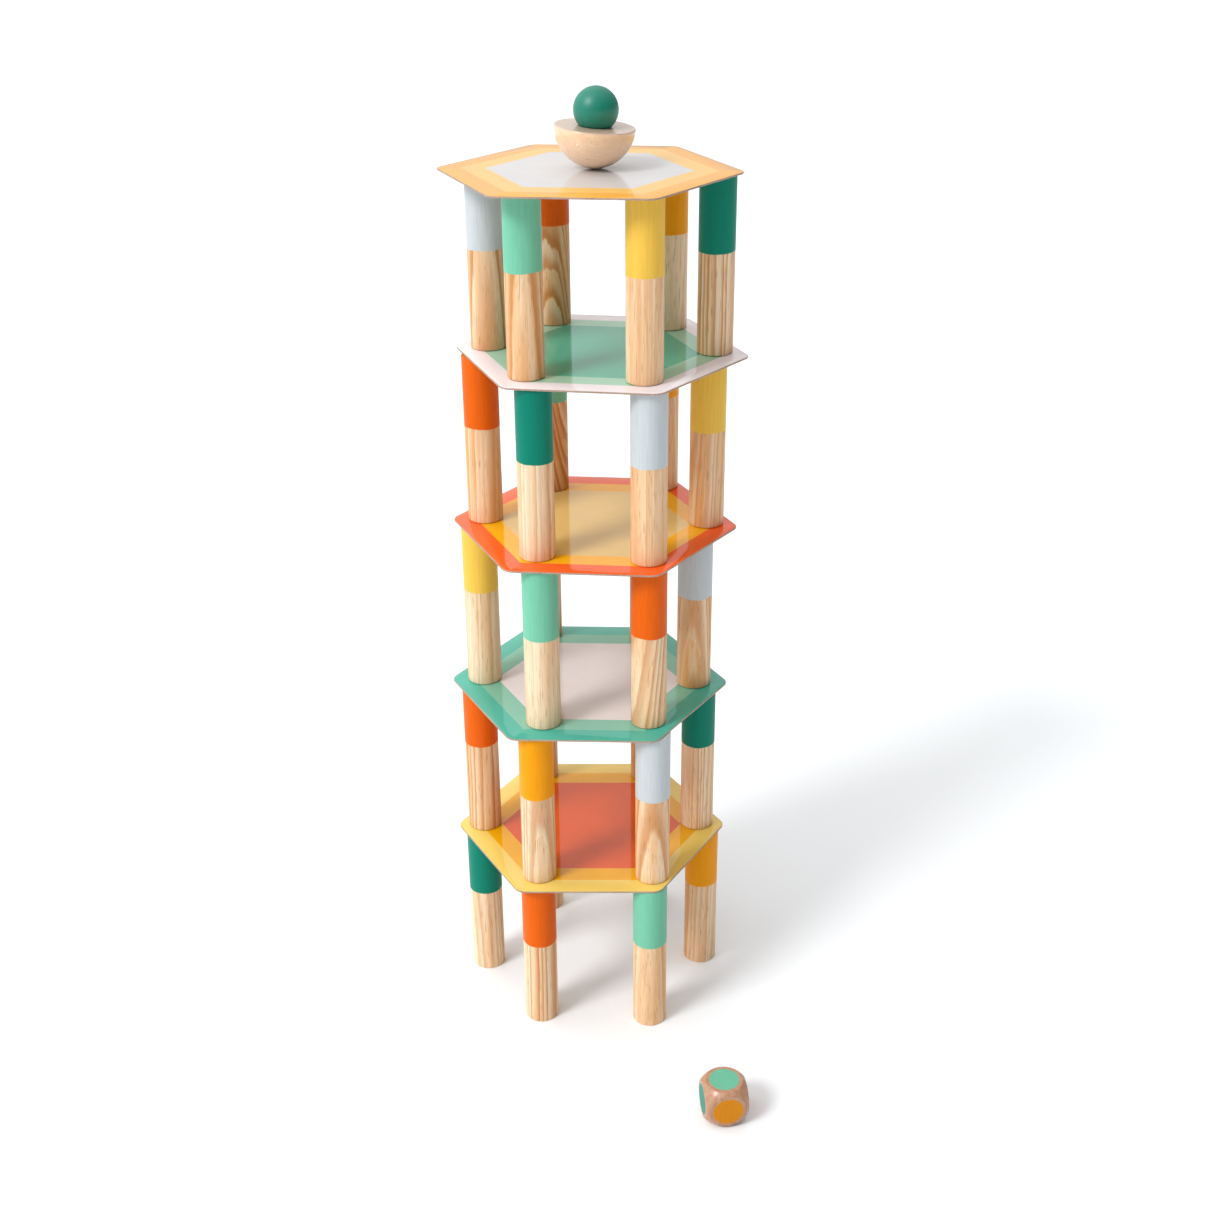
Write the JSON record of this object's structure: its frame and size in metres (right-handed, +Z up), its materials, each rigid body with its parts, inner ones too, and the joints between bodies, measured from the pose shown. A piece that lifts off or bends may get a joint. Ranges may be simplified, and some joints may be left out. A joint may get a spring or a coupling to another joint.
{
  "type": "tumbling tower game",
  "caption": "Stacking tower of painted wooden pillars and thin hexagonal boards, with a rocking half-ball, a ball on top and a colour die.",
  "frame": {"origin": "bottom centre of the box around the tower and its die, on the floor", "axes": "+Z up the tower, +X to the right seen from the side the die lies on, -Y towards that side"},
  "size_m": [0.2562, 0.3866, 0.8069],
  "materials": {
    "pine": "oiled pine dowel, fine vertical grain",
    "beech": "varnished beech, turned smooth",
    "die_wood": "oiled reddish beech",
    "board_core": "bare sawn edge and back of the thin board",
    "paint_green": "satin water-based paint on wood, green",
    "paint_orange": "satin water-based paint on wood, orange",
    "paint_mint": "satin water-based paint on wood, mint",
    "paint_light": "satin water-based paint on wood, light",
    "paint_amber": "satin water-based paint on wood, amber",
    "paint_yellow": "satin water-based paint on wood, yellow",
    "print_1": "high-gloss print lacquered on a thin board, yellow border, amber ring, orange-red centre",
    "print_2": "high-gloss print lacquered on a thin board, mint-green border, pale mint ring, white centre",
    "print_3": "high-gloss print lacquered on a thin board, orange-red border, amber ring, cream centre",
    "print_4": "high-gloss print lacquered on a thin board, white border, pale mint ring, mint-green centre",
    "print_5": "high-gloss print lacquered on a thin board, amber border, yellow ring, white centre"
  },
  "bodies": {
    "board_1": {"board_1": "print_1"},
    "board_2": {"board_2": "print_2"},
    "board_3": {"board_3": "print_3"},
    "board_4": {"board_4": "print_4"},
    "board_5": {"board_5": "print_5"},
    "pillar_1_right": {"pillar_1_right": "pine"},
    "pillar_1_back_right": {"pillar_1_back_right": "pine"},
    "pillar_1_back_left": {"pillar_1_back_left": "pine"},
    "pillar_1_left": {"pillar_1_left": "pine"},
    "pillar_1_front_left": {"pillar_1_front_left": "pine"},
    "pillar_1_front_right": {"pillar_1_front_right": "pine"},
    "pillar_2_right": {"pillar_2_right": "pine"},
    "pillar_2_back_right": {"pillar_2_back_right": "pine"},
    "pillar_2_back_left": {"pillar_2_back_left": "pine"},
    "pillar_2_left": {"pillar_2_left": "pine"},
    "pillar_2_front_left": {"pillar_2_front_left": "pine"},
    "pillar_2_front_right": {"pillar_2_front_right": "pine"},
    "pillar_3_right": {"pillar_3_right": "pine"},
    "pillar_3_back_right": {"pillar_3_back_right": "pine"},
    "pillar_3_back_left": {"pillar_3_back_left": "pine"},
    "pillar_3_left": {"pillar_3_left": "pine"},
    "pillar_3_front_left": {"pillar_3_front_left": "pine"},
    "pillar_3_front_right": {"pillar_3_front_right": "pine"},
    "pillar_4_right": {"pillar_4_right": "pine"},
    "pillar_4_back_right": {"pillar_4_back_right": "pine"},
    "pillar_4_back_left": {"pillar_4_back_left": "pine"},
    "pillar_4_left": {"pillar_4_left": "pine"},
    "pillar_4_front_left": {"pillar_4_front_left": "pine"},
    "pillar_4_front_right": {"pillar_4_front_right": "pine"},
    "pillar_5_right": {"pillar_5_right": "pine"},
    "pillar_5_back_right": {"pillar_5_back_right": "pine"},
    "pillar_5_back_left": {"pillar_5_back_left": "pine"},
    "pillar_5_left": {"pillar_5_left": "pine"},
    "pillar_5_front_left": {"pillar_5_front_left": "pine"},
    "pillar_5_front_right": {"pillar_5_front_right": "pine"},
    "half_ball": {"half_ball": "beech"},
    "ball": {"ball": "paint_green"},
    "die": {"die": "die_wood"}
  },
  "joints": [
    {"name": "rock_half_ball", "type": "hinge", "parent": "board_5", "child": "half_ball", "pos_m": [0.00408, 0.08075, 0.7765], "axis": [0, 1, 0], "range_deg": [-25, 15]},
    {"name": "lift_ball", "type": "slide", "parent": "half_ball", "child": "ball", "axis": [0, 0, 1], "range_m": [0, 0.05]},
    {"name": "lift_board_5", "type": "slide", "parent": "board_4", "child": "board_5", "axis": [0, 0, 1], "range_m": [0, 0.08]},
    {"name": "lift_board_4", "type": "slide", "parent": "board_3", "child": "board_4", "axis": [0, 0, 1], "range_m": [0, 0.08]},
    {"name": "lift_board_3", "type": "slide", "parent": "board_2", "child": "board_3", "axis": [0, 0, 1], "range_m": [0, 0.08]},
    {"name": "lift_board_2", "type": "slide", "parent": "board_1", "child": "board_2", "axis": [0, 0, 1], "range_m": [0, 0.08]},
    {"name": "pick_up_die", "type": "slide", "parent": "board_1", "child": "die", "axis": [0, 0, 1], "range_m": [0, 0.12]},
    {"name": "pull_1_right", "type": "slide", "parent": "board_1", "child": "pillar_1_right", "axis": [0.9999, -0.014, 0], "range_m": [0, 0.06]},
    {"name": "pull_1_back_right", "type": "slide", "parent": "board_1", "child": "pillar_1_back_right", "axis": [0.512, 0.859, 0], "range_m": [0, 0.06]},
    {"name": "pull_1_back_left", "type": "slide", "parent": "board_1", "child": "pillar_1_back_left", "axis": [-0.4879, 0.8729, 0], "range_m": [0, 0.06]},
    {"name": "pull_1_left", "type": "slide", "parent": "board_1", "child": "pillar_1_left", "axis": [-0.9999, 0.014, 0], "range_m": [0, 0.06]},
    {"name": "pull_1_front_left", "type": "slide", "parent": "board_1", "child": "pillar_1_front_left", "axis": [-0.512, -0.859, 0], "range_m": [0, 0.06]},
    {"name": "pull_1_front_right", "type": "slide", "parent": "board_1", "child": "pillar_1_front_right", "axis": [0.4879, -0.8729, 0], "range_m": [0, 0.06]},
    {"name": "pull_2_right", "type": "slide", "parent": "board_1", "child": "pillar_2_right", "axis": [0.9999, -0.014, 0], "range_m": [0, 0.06]},
    {"name": "pull_2_back_right", "type": "slide", "parent": "board_1", "child": "pillar_2_back_right", "axis": [0.512, 0.859, 0], "range_m": [0, 0.06]},
    {"name": "pull_2_back_left", "type": "slide", "parent": "board_1", "child": "pillar_2_back_left", "axis": [-0.4879, 0.8729, 0], "range_m": [0, 0.06]},
    {"name": "pull_2_left", "type": "slide", "parent": "board_1", "child": "pillar_2_left", "axis": [-0.9999, 0.014, 0], "range_m": [0, 0.06]},
    {"name": "pull_2_front_left", "type": "slide", "parent": "board_1", "child": "pillar_2_front_left", "axis": [-0.512, -0.859, 0], "range_m": [0, 0.06]},
    {"name": "pull_2_front_right", "type": "slide", "parent": "board_1", "child": "pillar_2_front_right", "axis": [0.4879, -0.8729, 0], "range_m": [0, 0.06]},
    {"name": "pull_3_right", "type": "slide", "parent": "board_2", "child": "pillar_3_right", "axis": [0.9989, -0.0471, 0], "range_m": [0, 0.06]},
    {"name": "pull_3_back_right", "type": "slide", "parent": "board_2", "child": "pillar_3_back_right", "axis": [0.5402, 0.8415, 0], "range_m": [0, 0.06]},
    {"name": "pull_3_back_left", "type": "slide", "parent": "board_2", "child": "pillar_3_back_left", "axis": [-0.4586, 0.8886, 0], "range_m": [0, 0.06]},
    {"name": "pull_3_left", "type": "slide", "parent": "board_2", "child": "pillar_3_left", "axis": [-0.9989, 0.0471, 0], "range_m": [0, 0.06]},
    {"name": "pull_3_front_left", "type": "slide", "parent": "board_2", "child": "pillar_3_front_left", "axis": [-0.5402, -0.8415, 0], "range_m": [0, 0.06]},
    {"name": "pull_3_front_right", "type": "slide", "parent": "board_2", "child": "pillar_3_front_right", "axis": [0.4586, -0.8886, 0], "range_m": [0, 0.06]},
    {"name": "pull_4_right", "type": "slide", "parent": "board_3", "child": "pillar_4_right", "axis": [0.9952, -0.0976, 0], "range_m": [0, 0.06]},
    {"name": "pull_4_back_right", "type": "slide", "parent": "board_3", "child": "pillar_4_back_right", "axis": [0.5821, 0.8131, 0], "range_m": [0, 0.06]},
    {"name": "pull_4_back_left", "type": "slide", "parent": "board_3", "child": "pillar_4_back_left", "axis": [-0.4131, 0.9107, 0], "range_m": [0, 0.06]},
    {"name": "pull_4_left", "type": "slide", "parent": "board_3", "child": "pillar_4_left", "axis": [-0.9952, 0.0976, 0], "range_m": [0, 0.06]},
    {"name": "pull_4_front_left", "type": "slide", "parent": "board_3", "child": "pillar_4_front_left", "axis": [-0.5821, -0.8131, 0], "range_m": [0, 0.06]},
    {"name": "pull_4_front_right", "type": "slide", "parent": "board_3", "child": "pillar_4_front_right", "axis": [0.4131, -0.9107, 0], "range_m": [0, 0.06]},
    {"name": "pull_5_right", "type": "slide", "parent": "board_4", "child": "pillar_5_right", "axis": [0.989, -0.1478, 0], "range_m": [0, 0.06]},
    {"name": "pull_5_back_right", "type": "slide", "parent": "board_4", "child": "pillar_5_back_right", "axis": [0.6225, 0.7826, 0], "range_m": [0, 0.06]},
    {"name": "pull_5_back_left", "type": "slide", "parent": "board_4", "child": "pillar_5_back_left", "axis": [-0.3665, 0.9304, 0], "range_m": [0, 0.06]},
    {"name": "pull_5_left", "type": "slide", "parent": "board_4", "child": "pillar_5_left", "axis": [-0.989, 0.1478, 0], "range_m": [0, 0.06]},
    {"name": "pull_5_front_left", "type": "slide", "parent": "board_4", "child": "pillar_5_front_left", "axis": [-0.6225, -0.7826, 0], "range_m": [0, 0.06]},
    {"name": "pull_5_front_right", "type": "slide", "parent": "board_4", "child": "pillar_5_front_right", "axis": [0.3665, -0.9304, 0], "range_m": [0, 0.06]}
  ]
}
